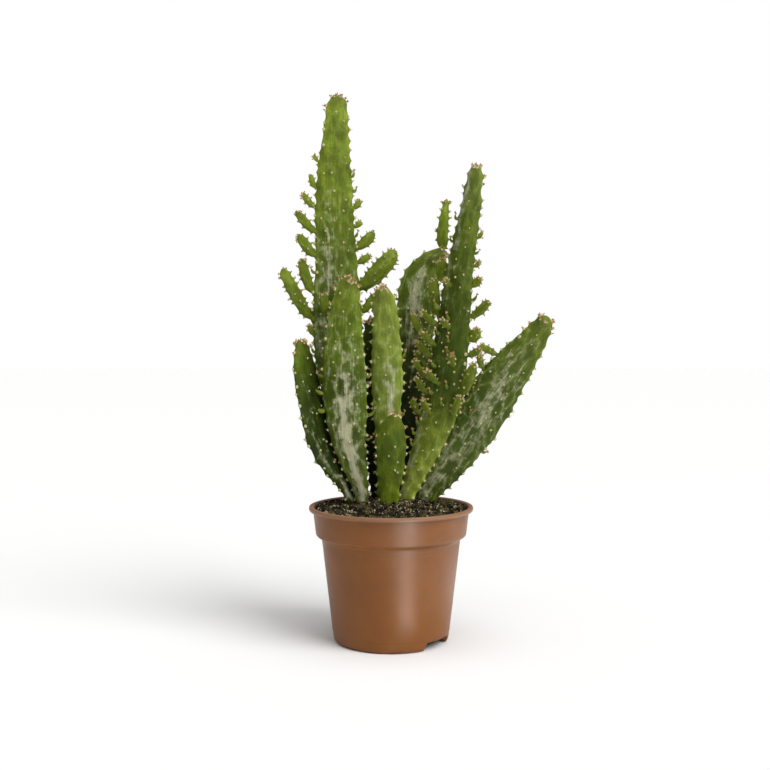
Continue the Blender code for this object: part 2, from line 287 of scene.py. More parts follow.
# %% [markdown]
# ## Adding shader nodes
#
# One small function adds a node, sets it and links it. Colours are written as hex values, the way a
# paint chart gives them, and turned to the linear values that the shader reckons with.


# %% Colour and node helpers
def linear(code):
    """sRGB hex to linear: a straight toe up to 0.04045, and a 2.4 power above it."""
    value = np.array([int(code[i:i + 2], 16) for i in (1, 3, 5)]) / 255
    value = np.where(value <= 0.04045, value / 12.92, ((value + 0.055) / 1.055) ** 2.4)
    return (*value.tolist(), 1.0)


def add(tree, kind, inputs=None, stops=None, **settings):
    """Adds a node, with its settings, its input values or links, and its ramp's stops."""
    made = tree.nodes.new("ShaderNode" + kind)
    for key, value in settings.items():
        setattr(made, key, value)
    for key, value in (inputs or {}).items():
        if isinstance(value, bpy.types.NodeSocket):
            tree.links.new(value, made.inputs[key])
        else:
            made.inputs[key].default_value = value
    if stops:
        elements = made.color_ramp.elements
        while len(elements) < len(stops):
            elements.new(0.5)
        for element, (place, colour) in zip(elements, stops):
            element.position = place
            element.color = linear(colour) if isinstance(colour, str) else (colour,) * 3 + (1.0,)
    return made


def new_material(name):
    """An empty material with its shader and output: returns the material, its tree and the shader."""
    material = bpy.data.materials.new(name)
    material.use_nodes = True
    tree = material.node_tree
    return material, tree, tree.nodes["Principled BSDF"]


# %% [markdown]
# ## Cactus skin
#
# The skin is a living leaf-green epidermis under a thin layer of wax, grown rather than made. The wax
# gives it a broad, soft shine. Old pads carry a pale grey-green scurf. It lies like a net between the
# areoles, with deep green islands about 8 mm wide and twice as long in its meshes. A cell pattern
# gives the net, stretched in the pad's own coordinates, which every corner stores in millimetres.
# Those follow a bent pad, where object coordinates would run straight through it.


# %% The skin material
def cactus_skin():
    material, tree, shader = new_material("waxy_cactus_skin")
    place = add(tree, "Attribute", attribute_name="growth").outputs["Vector"]
    colour = add(tree, "Attribute", attribute_name="skin_colour").outputs["Color"]
    scurf = add(tree, "Attribute", attribute_name="scurf").outputs["Fac"]
    young = add(tree, "Attribute", attribute_name="young").outputs["Fac"]

    # Islands 8 mm wide and 17 mm long, from cells whose borders wander with a noise of 6 mm.
    wander = add(tree, "TexNoise", {"Vector": place, "Scale": 1 / 6, "Detail": 3.0})
    pushed = add(tree, "VectorMath", {0: wander.outputs["Color"], 1: (9, 6, 6), 2: place},
                 operation="MULTIPLY_ADD")
    drawn = add(tree, "Mapping", {"Vector": pushed.outputs[0], "Scale": (17, 8, 8)}, vector_type="TEXTURE")
    cells = add(tree, "TexVoronoi", {"Vector": drawn.outputs[0], "Scale": 1.0}, feature="DISTANCE_TO_EDGE")
    depth = add(tree, "MapRange", {"Value": cells.outputs[0], "From Min": 0.02, "From Max": 0.30})

    # Green: deeper inside an island, with soft patches of 14 mm and fine fibres drawn along the pad.
    patch = add(tree, "TexNoise", {"Vector": place, "Scale": 1 / 14, "Detail": 3.0, "Roughness": 0.6})
    thread = add(tree, "Mapping", {"Vector": place, "Scale": (13, 1.1, 1.1)}, vector_type="TEXTURE")
    fibre = add(tree, "TexNoise", {"Vector": thread.outputs[0], "Scale": 1.0, "Detail": 3.0,
                                   "Roughness": 0.65})
    patchy = add(tree, "MapRange", {"Value": patch.outputs[0], "From Min": 0.3, "From Max": 0.7,
                                    "To Min": 0.74, "To Max": 1.30})
    fibrous = add(tree, "MapRange", {"Value": fibre.outputs[0], "From Min": 0.3, "From Max": 0.7,
                                     "To Min": 0.80, "To Max": 1.22})
    deep = add(tree, "MapRange", {"Value": depth.outputs[0], "To Min": 1.18, "To Max": 0.80})
    both = add(tree, "Math", {0: patchy.outputs[0], 1: fibrous.outputs[0]}, operation="MULTIPLY")
    shade = add(tree, "Math", {0: both.outputs[0], 1: deep.outputs[0]}, operation="MULTIPLY")
    green = add(tree, "VectorMath", {0: colour, "Scale": shade.outputs[0]}, operation="SCALE")

    # Scurf: most along the islands' borders, frayed by the fibres, as much as the pad's own value.
    broken = add(tree, "TexNoise", {"Vector": place, "Scale": 1 / 4.5, "Detail": 5.0, "Roughness": 0.7})
    near = add(tree, "Math", {0: depth.outputs[0], 1: -0.30, 2: scurf}, operation="MULTIPLY_ADD")
    frayed = add(tree, "Math", {0: fibre.outputs[0], 1: 0.45, 2: near.outputs[0]}, operation="MULTIPLY_ADD")
    cover = add(tree, "Math", {0: broken.outputs[0], 1: frayed.outputs[0]}, operation="ADD")
    veil = add(tree, "MapRange", {"Value": cover.outputs[0], "From Min": 0.93, "From Max": 1.46,
                                  "To Max": 0.90}, interpolation_type="SMOOTHSTEP")
    flaky = add(tree, "MapRange", {"Value": fibre.outputs[0], "From Min": 0.3, "From Max": 0.7,
                                   "To Min": 0.72, "To Max": 1.15})
    pale = add(tree, "VectorMath", {0: linear("#b3b192")[:3], "Scale": flaky.outputs[0]}, operation="SCALE")
    bloom = add(tree, "Mix", {0: veil.outputs[0], 6: green.outputs[0], 7: pale.outputs[0]}, data_type="RGBA")

    # New growth at a tip is yellower, with a breath of red.
    fresh = add(tree, "Math", {0: young, 1: 0.35}, operation="MULTIPLY")
    whole = add(tree, "Mix", {0: fresh.outputs[0], 6: bloom.outputs[2], 7: linear("#646524")},
                data_type="RGBA")
    tree.links.new(whole.outputs[2], shader.inputs["Base Color"])

    # Wax is smoother than scurf.
    rough = add(tree, "MapRange", {"Value": veil.outputs[0], "To Min": 0.46, "To Max": 0.72})
    tree.links.new(rough.outputs[0], shader.inputs["Roughness"])
    shader.inputs["IOR"].default_value = 1.40
    shader.inputs["Specular IOR Level"].default_value = 0.11

    # Shallow dimples 2 mm across, and the scurf stands a hair proud.
    dimple = add(tree, "TexNoise", {"Vector": place, "Scale": 0.45, "Detail": 5.0, "Roughness": 0.6})
    raised = add(tree, "Math", {0: veil.outputs[0], 1: 0.18, 2: dimple.outputs[0]}, operation="MULTIPLY_ADD")
    bump = add(tree, "Bump", {"Height": raised.outputs[0], "Strength": 0.6, "Distance": 0.8 * MM})
    tree.links.new(bump.outputs[0], shader.inputs["Normal"])
    return material


skin_material = cactus_skin()
print("skin material:", len(skin_material.node_tree.nodes), "nodes")

# %% [markdown]
# ## Where the areoles sit
#
# An areole is the woolly cushion that every spine, leaf and new pad of a cactus grows from. On a flat
# pad they stand in slanting rows on both faces and closer together along the thin margins, and they
# crowd at the growing tip. They could be scattered at random, but that looks like a rash. So they are
# laid out on a slanting lattice of real spacings, each pushed a little off its mark.

# %% Areole places
chance = np.random.default_rng(7)


def areole_marks(spine, margin_step, face_step, tip_count, start):
    """Distance along, angle round and prominence of each areole: two margins, two faces and the tip."""
    marks = []
    for edge in (0.0, math.pi):
        reach = np.arange(start + margin_step * chance.uniform(0.2, 0.8), spine.length - 0.5 * margin_step,
                          margin_step)
        reach = reach + chance.normal(0, 0.2 * margin_step, len(reach))
        marks.append(np.column_stack([reach, edge + chance.normal(0, 0.2, len(reach)), np.ones(len(reach))]))
    rows = np.arange(start + 0.4 * face_step, spine.length - 0.6 * face_step, 0.62 * face_step)
    half = spine.at(spine.ring_at(rows))[4][:, 0]
    for middle in (-math.pi / 2, math.pi / 2):
        for number, (reach, wide) in enumerate(zip(rows, half)):
            across = (np.arange(-4, 5) + (0.25 if number % 2 else -0.25)) * face_step
            across = across + chance.normal(0, 0.2 * face_step, len(across))
            across = across[(np.abs(across) < wide - 0.30 * face_step) & (chance.random(len(across)) < 0.85)]
            angle = np.arcsin(np.clip(across / wide, -1, 1))
            turn = middle + angle if middle < 0 else middle - angle
            jitter = reach + chance.normal(0, 0.2 * face_step, len(across))
            marks.append(np.column_stack([jitter, turn, np.full(len(turn), 0.4)]))
    tip_reach = spine.length - chance.uniform(0.12, 1.2, tip_count) * 0.5 * margin_step
    tip_turn = chance.uniform(0, 2 * math.pi, tip_count)
    marks.append(np.column_stack([tip_reach, tip_turn, np.full(tip_count, 0.6)]))
    return np.concatenate(marks)


# %% [markdown]
# ## A pad's skin
#
# The skin is a surface of two parameters: how far along the spine, and the angle round it. A round of
# the section is the centre plus the side times the half width times the cosine, plus the face times
# the half thickness times the sine. Under each areole it swells into a tubercle, a round bump whose
# height falls off as a bell curve, and long soft waves keep it from looking turned on a lathe.


# %% The skin as a surface
def waves(points, length, count, seed):
    """A sum of sine waves that run in random directions, each about one length long, from -1 to 1."""
    draw = np.random.default_rng(seed)
    runs = unit(draw.normal(size=(count, 3))) * 2 * math.pi / length * draw.uniform(0.6, 1.6, (count, 1))
    return np.sin(points @ runs.T + draw.uniform(0, 2 * math.pi, count)).sum(axis=-1) / math.sqrt(count * 2)


def row_numbers(spine, step):
    """Ring numbers of the rows: even steps along the pad, and finer round both ends."""
    end = np.linspace(0.0, 1.2, 9)[1:]
    first, last = np.interp([1.2, spine.last - 1.2], spine.fine, spine.walked)
    middle = np.linspace(first, last, max(int((last - first) / step), 4))[1:-1]
    return np.concatenate([end, spine.ring_at(middle), spine.last - end[::-1]])


def outward(points):
    """Normals of a closed grid: the step round it crossed with the step along it."""
    round_it = np.roll(points, -1, axis=1) - np.roll(points, 1, axis=1)
    return unit(np.cross(round_it, np.gradient(points, axis=0)))


# %% The grid of a pad's skin
def skin_surface(spine, marks, step, columns, tubercle, spread, wave, seed, sunk=0.0):
    """The grid of a pad's skin, with its areoles' places, normals and directions to the tip."""
    numbers = row_numbers(spine, step)
    reach = np.interp(numbers, spine.fine, spine.walked)
    centres, along, side, face, wide, thick = spine.at(numbers)
    if sunk:
        # The foot of a side pad is drawn into its parent and kept thick, as a joint.
        near = np.clip(1 - reach / (3.2 * sunk), 0, 1)[:, None] ** 2
        centres = centres - along * near * sunk
        neck = spine.at(np.array([spine.ring_at(3.2 * sunk)]))
        wide = np.maximum(wide, near * 0.9 * neck[4])
        thick = np.maximum(thick, near * 0.9 * neck[5])
    # The tip narrows a little more than the plain solid's.
    narrow = 1 - 0.22 * np.clip(1 - (spine.length - reach) / (1.6 * wide.max()), 0, 1)[:, None] ** 1.5
    wide, thick = wide * narrow, thick * narrow
    turn = np.linspace(0, 2 * math.pi, columns, endpoint=False) + math.pi / 2
    cosine, sine = np.cos(turn)[None, :, None], np.sin(turn)[None, :, None]
    grid = centres[:, None] + side[:, None] * wide[:, None] * cosine + face[:, None] * thick[:, None] * sine
    normals = outward(grid)
    row = np.abs(reach[None] - marks[:, :1]).argmin(axis=1)
    column = np.round((marks[:, 1] - math.pi / 2) / (2 * math.pi) * columns).astype(int) % columns
    marked = grid[row, column]
    swell = np.zeros(grid.shape[:2])
    for spot in np.array_split(np.arange(len(marked)), max(len(marked) // 40, 1)):
        gap = ((grid[:, :, None] - marked[spot]) ** 2).sum(axis=-1)
        swell = np.maximum(swell, (marks[spot, 2] * np.exp(-gap / (2 * spread**2))).max(axis=-1))
    fade = np.clip(np.minimum(reach, spine.length - reach) / (2 * spread), 0, 1)[:, None]
    grid = grid + normals * (tubercle * (swell - 0.4) * (0.35 + 0.65 * fade))[..., None]
    grid = grid + normals * (wave * waves(grid, 11 * MM, 7, seed) * fade)[..., None]
    growth = np.stack(np.broadcast_arrays(reach[:, None], wide * np.cos(turn), thick * np.sin(turn)), axis=-1)
    return {
        "grid": grid, "reach": reach, "growth": growth / MM, "turn": turn, "mark": marks,
        "areole": grid[row, column], "out": normals[row, column], "up": along[row],
        "share": np.repeat((reach / spine.length)[:, None], columns, axis=1),
    }


# %% The mesh of a pad's skin
def with_ends(table):
    """A grid's values row by row, then those of the foot and the tip, taken from the nearest row."""
    return np.concatenate([table.reshape(-1, *table.shape[2:]), table[0, :1], table[-1, :1]])


def skin_mesh(name, surface, colours, scurf, young):
    """The skin's mesh with the values its material reads: place in millimetres, colour, scurf and youth."""
    mesh = mesh_of(name, closed(surface["grid"]), *tube_faces(*surface["grid"].shape[:2]))
    # Each pad has its own stretch of the pattern.
    shift = np.random.default_rng(len(name) + ord(name[-1])).uniform(0, 400, 3)
    with_values(mesh, "growth", with_ends(surface["growth"]) + shift)
    with_values(mesh, "skin_colour", with_ends(colours))
    with_values(mesh, "scurf", with_ends(scurf))
    with_values(mesh, "young", with_ends(young))
    return mesh


# %% [markdown]
# ## Each pad's colours, with painted light and shade
#
# No two pads of the plant are the same green. The old front pads are veiled with scurf, the small one
# in front is a deep plain green, and the tall stem on the left is a fresher yellow green towards its
# top. Some colours are painted light and shade: the inner pad and the foot of the back pad are painted
# near black for the shade among the pads, the outer left pad is painted dark, and the tall right stem
# is painted dark in its middle for shade and bright at its foot for light. Each pad's colours are given
# from foot to tip, and so is how much net it carries. Old scurf also
# runs together into one ragged pale streak: that is given by where it lies across the pad (-1 to 1),
# how wide it is, and its strength from foot to tip.

# %% Colours from foot to tip
# Painted shade: the dark colours of inner_pad, back_pad's lower half, outer_left_pad and tall_right_stem's
# middle; painted light: tall_right_stem's bright foot.
SKINS = {
    "tall_left_stem": (["#3c4a10", "#414f12", "#44521a", "#4c5b1a", "#61711f", "#6d7d28"],
                       [0.26, 0.26, 0.26, 0.26, 0.20, 0.16], (-0.45, 0.38, [0.2, 0.3, 0.5, 0.6, 0.2, 0.0])),
    "front_left_pad": (["#566420", "#505e1c", "#445410", "#42520f", "#57681a", "#667624"],
                       [0.34, 0.34, 0.35, 0.33, 0.30, 0.20], (0.02, 0.38, [1.2, 1.6, 1.5, 0.6, 0.1, 0.0])),
    "middle_pad": (["#54641a", "#5c6c1e", "#667724", "#728230", "#768434", "#707e30"],
                   [0.26, 0.28, 0.32, 0.30, 0.24, 0.18], (0.25, 0.40, [0.3, 0.5, 1.1, 0.8, 0.1, 0.0])),
    "small_front_pad": (["#5c6c16", "#64741a", "#5c6c16", "#4c5c0e", "#48580e", "#505e14"],
                        [0.22, 0.16, 0.12, 0.10, 0.12, 0.14], (0.3, 0.4, [0.5, 0.2, 0.0, 0.0, 0.0, 0.0])),
    "outer_left_pad": (["#2b370a", "#273208", "#243008", "#273208", "#323f0c", "#44530f"],
                       [0.26, 0.25, 0.20, 0.16, 0.16, 0.16], (-0.65, 0.34, [0.9, 0.8, 0.5, 0.3, 0.2, 0.1])),
    "tall_right_stem": (["#97a33e", "#7a882c", "#3c4a10", "#3c4a14", "#505e1c", "#63732e"],
                        [0.34, 0.30, 0.18, 0.18, 0.24, 0.20], (-0.60, 0.36, [0.6, 0.5, 0.2, 0.2, 0.6, 0.9])),
    "back_pad": (["#1a2406", "#1a2406", "#1e290a", "#384510", "#50601c", "#52601c"],
                 [0.10, 0.10, 0.12, 0.26, 0.30, 0.22], (-0.25, 0.42, [0.0, 0.0, 0.0, 0.45, 0.85, 0.2])),
    "leaning_right_pad": (["#48560f", "#46540f", "#40500c", "#3f4f0c", "#50601a", "#5e6e22"],
                          [0.32, 0.31, 0.29, 0.29, 0.28, 0.20],
                          (-0.05, 0.60, [0.9, 0.55, 0.35, 0.45, 0.35, 0.1])),
    "inner_pad": (["#1a2406", "#1c2607", "#202b09", "#27330b", "#303d10", "#3c4b16"],
                  [0.10, 0.10, 0.10, 0.12, 0.15, 0.15], (0.0, 0.5, [0.0, 0.0, 0.0, 0.0, 0.0, 0.0])),
}


def along_pad(table, share):
    """Values between the table's evenly spaced rows."""
    table = np.asarray(table, float)
    places = np.linspace(0, 1, len(table))
    if table.ndim == 1:
        return np.interp(share, places, table)
    return np.stack([np.interp(share, places, column) for column in table.T], axis=-1)


def lighter_margins_and_painted_shade(name, share, across, behind):
    """How light a pad is painted: lighter margins, by the sixth power of across, and painted light and shade
    for the crowd of pads.
    """
    shade = 1 + 0.22 * across**6
    if name == "outer_left_pad":  # painted shade on its front's side turned to the crowd, painted light on its far margin
        shade = shade * (1.25 - (0.53 + 0.58 * across) * (1 - behind))
    if name in ("back_pad", "inner_pad"):  # their dark colours are painted shade, so their backs, away from the crowd, are lightened back
        shade = shade * (1 + 2.0 * behind**1.5 * (1 - 0.6 * share))
    return shade[..., None]


# %% The big pads
MARGIN_STEP, FACE_STEP = 7.4 * MM, 13.0 * MM  # between areoles
IN_SOIL = 24 * MM  # this much of a pad stands in the soil and carries no areoles
FRESH = 14 * MM  # this much of its tip is this year's growth

made_skins = {}
for number, (name, spine) in enumerate(spines.items()):
    colours, scurf, (centre, width, strength) = SKINS[name]
    marks = areole_marks(spine, MARGIN_STEP, FACE_STEP, tip_count=10, start=IN_SOIL)
    surface = skin_surface(spine, marks, step=0.85 * MM, columns=76, tubercle=1.2 * MM, spread=1.8 * MM,
                           wave=0.30 * MM, seed=100 + number)
    share = surface["share"]
    across, behind = np.cos(surface["turn"])[None], 0.5 + 0.5 * np.sin(surface["turn"])[None]
    base = along_pad([linear(c) for c in colours], share)
    # Painted light and shade for each pad, on top of its listed colour.
    base[..., :3] *= lighter_margins_and_painted_shade(name, share, across, behind)
    young = np.clip((share - 1) * spine.length / FRESH + 1, 0, 1)
    wander = centre + 0.08 * np.sin(9 * share + number)
    streak = along_pad(strength, share) * np.exp(-((across - wander) / width) ** 2)
    mesh = skin_mesh(name + "_skin", surface, base, along_pad(scurf, share) + 0.42 * streak, young)
    piece(name + "_skin", mesh, skin_material, [name])
    made_skins[name] = surface
    print(f"{name}: {share.shape[0]} rows x {share.shape[1]} columns, {len(marks)} areoles")

# %% [markdown]
# ## The side pads
#
# Along the margins the stems sprout dozens of little pads. They are made as the big ones are, only
# with finer steps and smaller tubercles. The foot of each one is drawn about a millimetre into its
# parent, because on the real plant the joint is grown together.

# %% Side pads
MELLOW = np.array(linear("#6a7a1c"))  # the colour they share


def parent_colour(parent, place):
    """The parent's listed colour at the height of the place, painted shade and light included where its list
    has them.
    """
    skin = made_skins[parent]
    nearest = np.linalg.norm(skin["grid"] - place, axis=-1).min(axis=1).argmin()
    return along_pad([linear(c) for c in SKINS[parent][0]], skin["share"][nearest, :1])[0]


offset_names = [n for n in names if "_offset_" in n]
for number, name in enumerate(offset_names):
    parent = name[:name.index("_offset_")]
    spine = Spine(name, OFFSET_SIDES, made_skins[parent]["grid"].reshape(-1, 3)[::3], spines[parent].back)
    half = spine.sizes[:, 0].max()
    step = float(np.clip(spine.length / 3.6, 3.0 * MM, 5.4 * MM))
    marks = areole_marks(spine, step, 1.7 * step, tip_count=7, start=1.5 * MM)
    surface = skin_surface(spine, marks, step=0.45 * MM, columns=36, tubercle=0.13 * half + 0.15 * MM,
                           spread=0.8 * MM, wave=0.10 * MM, seed=300 + number,
                           sunk=0.25 * half + 0.5 * MM)
    share = surface["share"]
    of_parent = parent_colour(parent, surface["grid"][0].mean(axis=0))
    base = (0.38 * of_parent + 0.62 * MELLOW) * (0.76 + 0.6 * share[..., None])
    base[..., 3] = 1
    young = np.clip((share - 0.62) / 0.38, 0, 1)
    mesh = skin_mesh(name + "_skin", surface, base, 0.20 + 0.08 * share, young)
    piece(name + "_skin", mesh, skin_material, [name])
    surface["parent"] = parent
    made_skins[name] = surface
print(len(offset_names), "side pads")

# %% [markdown]
# ## Buds
#
# Between the side pads the stems carry buds of 3 to 8 mm that have only just broken from their
# areoles. They are too small for the plain solids, so they are trim here. Each is given by its stem,
# its height above the pot's rim, its place round the stem in degrees (0 right, 180 left, 270 front),
# how steeply it rises, its length and its half width.

# %% Bud list
BUDS = [
    ("tall_left_stem", 244, 0, 62, 5.0, 1.3), ("tall_left_stem", 233, 0, 48, 4.8, 1.4),
    ("tall_left_stem", 198, 0, 52, 4.2, 1.2), ("tall_left_stem", 171, 180, 50, 4.5, 1.3),
    ("tall_left_stem", 113, 180, 55, 4.0, 1.3), ("tall_left_stem", 95, 180, 40, 8.0, 1.9),
    ("tall_right_stem", 206, 180, 62, 4.6, 1.2), ("tall_right_stem", 190, 180, 50, 4.2, 1.1),
    ("tall_right_stem", 184, 0, 40, 4.0, 1.2), ("tall_right_stem", 150, 0, 45, 4.6, 1.4),
    ("tall_right_stem", 128, 0, 35, 4.6, 1.5), ("tall_right_stem", 95, 0, 40, 6.0, 1.8),
    ("tall_right_stem", 120, 272, 40, 5.0, 1.6), ("tall_right_stem", 74, 280, 50, 5.0, 1.5),
    ("tall_right_stem", 56, 215, 40, 6.0, 1.5), ("tall_right_stem", 48, 200, 35, 5.0, 1.4),
    ("tall_right_stem", 40, 215, 40, 5.0, 1.4), ("front_left_pad", 66, 0, 42, 7.0, 1.3),
    ("front_left_pad", 47, 0, 30, 5.0, 1.2), ("front_left_pad", 94, 0, 40, 3.4, 1.2),
    ("middle_pad", 88, 180, 40, 3.4, 1.2), ("middle_pad", 108, 0, 50, 3.6, 1.2),
    ("middle_pad", 66, 0, 50, 4.0, 1.4), ("outer_left_pad", 60, 0, 50, 5.0, 1.6),
    ("leaning_right_pad", 74, 180, 45, 4.4, 1.4), ("leaning_right_pad", 46, 0, 40, 3.6, 1.3),
    ("back_pad", 150, 180, 45, 3.6, 1.2), ("back_pad", 120, 180, 45, 4.0, 1.3),
    ("tall_right_stem", 135, 262, 40, 6.0, 1.9), ("tall_right_stem", 111, 275, 35, 5.5, 1.8),
    ("tall_right_stem", 87, 285, 40, 6.0, 1.8), ("tall_right_stem", 100, 238, 30, 6.5, 1.8),
    ("tall_right_stem", 92, 222, 40, 7.0, 1.9), ("tall_right_stem", 80, 240, 25, 6.0, 1.8),
    ("tall_right_stem", 70, 225, 40, 7.0, 1.9), ("tall_right_stem", 63, 200, 30, 6.0, 1.7),
    ("tall_right_stem", 124, 232, 35, 5.5, 1.6), ("tall_right_stem", 142, 200, 40, 7.5, 2.3),
    ("front_left_pad", 83, 180, 30, 8.0, 1.8), ("front_left_pad", 71, 180, 35, 8.5, 2.0),
    ("front_left_pad", 95, 180, 30, 5.0, 1.6), ("leaning_right_pad", 64, 235, 30, 4.0, 1.5),
    ("leaning_right_pad", 77, 215, 30, 3.5, 1.3), ("tall_right_stem", 131, 195, 35, 7.0, 2.2),
    ("inner_pad", 24, 180, 30, 4.0, 1.9), ("inner_pad", 35, 180, 40, 4.0, 2.0),
    ("inner_pad", 47, 180, 35, 4.0, 1.9),
]
rim_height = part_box("nursery_pot")[1].z
BUD_ROWS, BUD_COLUMNS = 14, 12


# %% A bud's surface
def bud_surface(surface, height, around, rise, length, half):
    """A bud's grid: a drop carried along a short curve that leaves the skin square and bends upwards."""
    grid = surface["grid"]
    row = np.abs(grid.mean(axis=1)[:, 2] - rim_height - height * MM).argmin()
    column = int(round((math.radians(around) - math.pi / 2) / (2 * math.pi) * grid.shape[1])) % grid.shape[1]
    start, out = grid[row, column], outward(grid[row - 2:row + 3])[2, column]
    up = unit(grid[row + 4].mean(axis=0) - grid[row - 4].mean(axis=0))
    lean = math.radians(rise)
    tip = start + length * MM * (out * math.cos(lean) + up * math.sin(lean))
    bend = start + 0.5 * length * MM * out
    t = (1 - np.cos(np.linspace(0.12, 0.97, BUD_ROWS) * math.pi)[:, None]) / 2
    centre = (start - 0.4 * half * MM * out) * (1 - t) ** 2 + bend * 2 * t * (1 - t) + tip * t**2
    along = unit(np.gradient(centre, axis=0))
    side = unit(np.cross(np.cross(out, up), along))
    face = np.cross(along, side)
    radius = half * MM * np.sin(np.pi * np.clip(t, 0, 1) ** 0.8) ** 0.5 * (1 - 0.25 * t)
    turn = np.linspace(0, 2 * math.pi, BUD_COLUMNS, endpoint=False)[None, :, None]
    return (centre[:, None] + side[:, None] * radius[:, None] * np.cos(turn)
            + face[:, None] * 0.75 * radius[:, None] * np.sin(turn)), tip, along[-1]


# %% Buds
bud_tips, bud_grids = [], []
for stem, height, around, rise, length, half in BUDS:
    grid, tip, direction = bud_surface(made_skins[stem], height, around, rise, length, half)
    bud_grids.append(grid)
    bud_tips.append((stem, tip, direction, half * MM))
each = BUD_ROWS * BUD_COLUMNS + 2
first = each * np.arange(len(bud_grids))[:, None, None]
points = np.concatenate([closed(grid) for grid in bud_grids])
blocks = [(faces + first).reshape(-1, faces.shape[1]) for faces in tube_faces(BUD_ROWS, BUD_COLUMNS)]
mesh = mesh_of("buds", points, *blocks)
share = np.concatenate([np.repeat(np.linspace(0, 1, BUD_ROWS), BUD_COLUMNS), [0, 1]])
with_values(mesh, "growth", points / MM)
with_values(mesh, "skin_colour", np.tile(linear("#647126"), (len(points), 1)))
with_values(mesh, "scurf", np.full(len(points), 0.22))
with_values(mesh, "young", np.tile(share, len(bud_grids)))
piece("buds", mesh, skin_material)
print(len(bud_grids), "buds of", each, "corners")

# %% [markdown]
# ## Felt, bristles and leaflets
#
# Each areole is a cushion of short felt, cream when young and greyer with age, with a tuft of fine
# barbed bristles. At the growing tips it also carries tiny awl-shaped leaves, pink and brown, that soon
# drop. They are repeated well over a thousand times, so each is a shape of a few dozen faces at most,
# and all of one kind become one mesh, placed by whole-array sums.


# %% Scattering one shape many times
def scattered(name, shape, faces, places, axes, sizes):
    """One mesh of a shape repeated: each copy is the shape times its size, turned to its axes, moved."""
    points = np.einsum("nij,nkj->nki", axes, shape[None] * sizes[:, None]) + places[:, None]
    count = len(shape)
    blocks = [(block[None] + count * np.arange(len(places))[:, None, None]).reshape(-1, block.shape[1])
              for block in faces]
    return mesh_of(name, points.reshape(-1, 3), *blocks)


def axes_along(directions, towards):
    """A square frame for each direction: columns are the crosswise, second and lengthwise axes."""
    third = unit(directions)
    first = unit(np.cross(towards, third) + 1e-9)
    return np.stack([first, np.cross(third, first), third], axis=-1)


def turned_shape(radii, heights, sides):
    """A small closed body of rings with the given radii and heights, and a point at each end."""
    turn = np.linspace(0, 2 * math.pi, sides, endpoint=False)
    radii, heights = np.asarray(radii[1:-1]), np.asarray(heights)
    rings = np.stack([radii[:, None] * np.cos(turn), radii[:, None] * np.sin(turn),
                      np.repeat(heights[1:-1, None], sides, axis=1)], axis=-1)
    ends = np.array([[0, 0, heights[0]], [0, 0, heights[-1]]])
    return np.concatenate([rings.reshape(-1, 3), ends]), tube_faces(len(radii), sides)


cushion, cushion_faces = turned_shape([0, 0.9, 1.0, 0.72, 0], [-0.5, -0.45, 0.1, 0.7, 0.95], 7)
bristle, bristle_faces = turned_shape([0, 1.0, 0.6, 0], [-0.1, 0.0, 0.55, 1.0], 3)
leaflet, leaflet_faces = turned_shape([0, 0.55, 1.0, 0.7, 0.3, 0], [0, 0.06, 0.3, 0.6, 0.85, 1.0], 5)
leaflet[:, 0] += 1.1 * leaflet[:, 2] ** 2
print("faces in a cushion, a bristle and a leaflet:",
      [sum(len(f) for f in faces) for faces in (cushion_faces, bristle_faces, leaflet_faces)])

# %% [markdown]
# Felt scatters light like cloth, so its material is dull with a little sheen. Bristles are horn-like
# and straw coloured, going to red-brown where they are young.


# %% Felt, bristle and leaflet materials
def tuft_material(name, old, new, roughness, sheen):
    material, tree, shader = new_material(name)
    young = add(tree, "Attribute", attribute_name="young").outputs["Fac"]
    place = add(tree, "TexCoord").outputs["Object"]
    # Clumps of hair half a millimetre across.
    clump = add(tree, "TexNoise", {"Vector": place, "Scale": 1 / (1.1 * MM), "Detail": 3.0})
    uneven = add(tree, "Math", {0: clump.outputs[0], 1: 0.5}, operation="SUBTRACT")
    pushed = add(tree, "Math", {0: uneven.outputs[0], 1: 0.7, 2: young}, operation="MULTIPLY_ADD")
    tint = add(tree, "ValToRGB", {"Fac": pushed.outputs[0]}, stops=[(0.0, old), (0.45, old), (0.85, new)])
    tree.links.new(tint.outputs[0], shader.inputs["Base Color"])
    bump = add(tree, "Bump", {"Height": clump.outputs[0], "Strength": 0.6, "Distance": 0.2 * MM})
    tree.links.new(bump.outputs[0], shader.inputs["Normal"])
    shader.inputs["Roughness"].default_value = roughness
    shader.inputs["Sheen Weight"].default_value = sheen
    return material


felt_material = tuft_material("areole_felt", "#c3b987", "#d2c294", 0.95, 0.2)
bristle_material = tuft_material("horny_bristles", "#c4b382", "#cba97c", 0.6, 0.0)
leaflet_material = tuft_material("awl_leaflets", "#99914e", "#b06f4c", 0.6, 0.0)

# %% Gather every areole
def areole_rows(surface):
    """For each areole: its place, the ways out and to the tip, its size, its youth, and 1 if it is small."""
    reach, length, small = surface["mark"][:, 0], surface["reach"][-1], "parent" in surface
    if small:
        size = np.full(len(reach), 0.62 * MM)
        young = np.clip(0.35 + 0.75 * reach / length, 0, 1)
    else:
        size = np.where(surface["mark"][:, 2] < 0.5, 0.70 * MM, 1.02 * MM)
        young = np.clip((reach - length + 30 * MM) / (30 * MM), 0, 1)
        young = np.clip(young + 0.25 * np.abs(np.cos(surface["mark"][:, 1])) ** 8, 0, 1)
    size = size * chance.uniform(0.75, 1.25, len(size))
    rows = np.column_stack([surface["areole"], surface["out"], surface["up"], size, young,
                            np.full(len(size), float(small))])
    return rows[surface["areole"][:, 2] > rim_height + 2 * MM]


